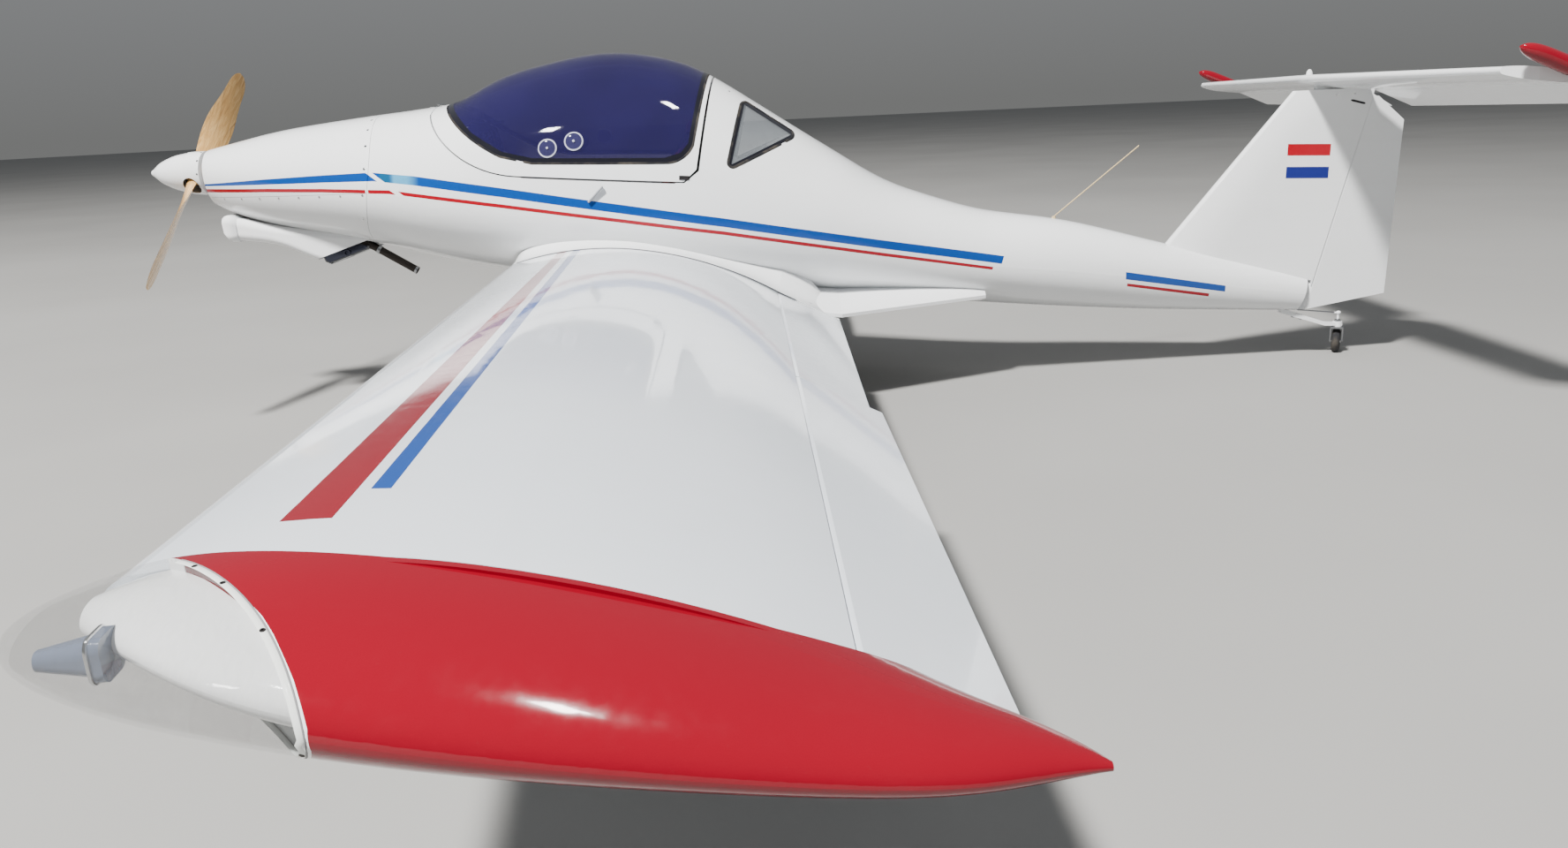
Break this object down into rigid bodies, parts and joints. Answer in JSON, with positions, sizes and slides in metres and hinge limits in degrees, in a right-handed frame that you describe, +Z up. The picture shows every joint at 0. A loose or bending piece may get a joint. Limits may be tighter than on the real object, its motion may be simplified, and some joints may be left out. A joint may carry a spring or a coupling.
{
  "type": "two-seat T-tail microlight aircraft",
  "caption": "Low-wing two-seat microlight aircraft with T-tail, tail wheel, tinted bubble canopy, wooden propeller and red streamlined wing tips.",
  "frame": {"origin": "on the floor under the middle of the aircraft, halfway between the spinner tip and the tail", "axes": "+X towards the left wing tip, nose towards -Y, +Z up; it stands on its three wheels, nose up"},
  "size_m": [9.5004, 6.411, 1.7314],
  "materials": {
    "white_gelcoat": "glossy white gelcoat",
    "red_gelcoat": "glossy red",
    "clear_plastic": "clear acrylic cover",
    "lamp_housing": "grey lamp housing",
    "tinted_glazing": "dark blue-violet tinted acrylic",
    "clear_glazing": "clear acrylic",
    "varnished_wood": "varnished laminated wood",
    "cast_metal": "cast metal",
    "radiator_core": "dark finned core",
    "black_steel": "heat-blackened steel",
    "tyre_rubber": "matt rubber",
    "wheel_metal": "machined alloy",
    "grey_steel": "satin steel",
    "cabin_trim": "grey carpet and trim",
    "panel_black": "matt black panel",
    "seat_fabric": "dark red upholstery",
    "antenna_steel": "tan whip"
  },
  "bodies": {
    "airframe": {"cabin_floor": "cabin_trim", "control_sticks": "grey_steel", "engine_block": "cast_metal", "engine_cowling": "white_gelcoat", "exhaust_pipe": "black_steel", "fin": "white_gelcoat", "fuselage_shell": "white_gelcoat", "gear_leg_left": "white_gelcoat", "gear_leg_right": "white_gelcoat", "instrument_panel": "panel_black", "radiator": "radiator_core", "radiator_duct": "white_gelcoat", "rear_windows": "clear_glazing", "rudder_pedals": "grey_steel", "seat_left": "seat_fabric", "seat_right": "seat_fabric", "side_lever": "grey_steel", "spar_box": "cabin_trim", "tail_spring": "white_gelcoat", "tailplane": "white_gelcoat", "tip_lamp_left": "lamp_housing", "tip_lamp_right": "lamp_housing", "tip_light_cover_left": "clear_plastic", "tip_light_cover_right": "clear_plastic", "whip_antenna": "antenna_steel", "wing_left": "white_gelcoat", "wing_right": "white_gelcoat", "wing_tip_left": "red_gelcoat", "wing_tip_right": "red_gelcoat"},
    "propeller": {"propeller": "varnished_wood", "spinner": "white_gelcoat"},
    "canopy": {"canopy_frame": "white_gelcoat", "canopy_glass": "tinted_glazing"},
    "rudder": {"rudder": "white_gelcoat"},
    "elevator": {"elevator": "white_gelcoat", "elevator_horns": "red_gelcoat"},
    "aileron_left": {"aileron_left": "white_gelcoat"},
    "aileron_right": {"aileron_right": "white_gelcoat"},
    "flap_left": {"flap_left": "white_gelcoat"},
    "flap_right": {"flap_right": "white_gelcoat"},
    "wheel_left": {"main_rim_left": "wheel_metal", "main_tyre_left": "tyre_rubber"},
    "wheel_right": {"main_rim_right": "wheel_metal", "main_tyre_right": "tyre_rubber"},
    "tail_fork": {"tailwheel_fork": "grey_steel"},
    "tail_wheel": {"tailwheel_hub": "wheel_metal", "tailwheel_tyre": "tyre_rubber"}
  },
  "joints": [
    {"name": "propeller_spin", "type": "hinge", "parent": "airframe", "child": "propeller", "pos_m": [0, -2.96723, 1.22662], "axis": [0, 0.999, -0.0436], "continuous": true},
    {"name": "canopy_tilt", "type": "hinge", "parent": "airframe", "child": "canopy", "pos_m": [0, -1.683, 1.505], "axis": [1, 0, 0], "range_deg": [0, 50]},
    {"name": "rudder_turn", "type": "hinge", "parent": "airframe", "child": "rudder", "pos_m": [0, 2.771, 0.262], "axis": [0, 0.2384, 0.9712], "range_deg": [-28, 28]},
    {"name": "elevator_turn", "type": "hinge", "parent": "airframe", "child": "elevator", "pos_m": [0, 2.983, 1.384], "axis": [1, 0, 0], "range_deg": [-4, 40]},
    {"name": "aileron_left_turn", "type": "hinge", "parent": "airframe", "child": "aileron_left", "pos_m": [3.5, 0.05151, 0.60466], "axis": [0.999, 0.0272, 0.0347], "range_deg": [-18, 20]},
    {"name": "aileron_right_turn", "type": "hinge", "parent": "airframe", "child": "aileron_right", "pos_m": [-3.5, 0.05151, 0.60466], "axis": [0.999, -0.0272, -0.0347], "range_deg": [-20, 18]},
    {"name": "flap_left_turn", "type": "hinge", "parent": "airframe", "child": "flap_left", "pos_m": [1.58, -0.00085, 0.538], "axis": [0.999, 0.0272, 0.0347], "range_deg": [-35, 0]},
    {"name": "flap_right_turn", "type": "hinge", "parent": "airframe", "child": "flap_right", "pos_m": [-1.58, -0.00085, 0.538], "axis": [0.999, -0.0272, -0.0347], "range_deg": [-35, 0]},
    {"name": "wheel_left_spin", "type": "hinge", "parent": "airframe", "child": "wheel_left", "pos_m": [0.905, -1.27, 0.178], "axis": [1, 0, 0], "continuous": true},
    {"name": "wheel_right_spin", "type": "hinge", "parent": "airframe", "child": "wheel_right", "pos_m": [-0.905, -1.27, 0.178], "axis": [1, 0, 0], "continuous": true},
    {"name": "tailwheel_swivel", "type": "hinge", "parent": "airframe", "child": "tail_fork", "pos_m": [0, 2.963, 0.15], "axis": [0, 0, 1], "continuous": true},
    {"name": "tailwheel_spin", "type": "hinge", "parent": "tail_fork", "child": "tail_wheel", "pos_m": [-0.03002, 2.97896, 0.064], "axis": [0.4695, 0.8829, 0], "continuous": true}
  ],
  "couplings": [
    {"joint": "aileron_right_turn", "follows": "aileron_left_turn", "ratio": -1},
    {"joint": "flap_right_turn", "follows": "flap_left_turn", "ratio": 1}
  ]
}
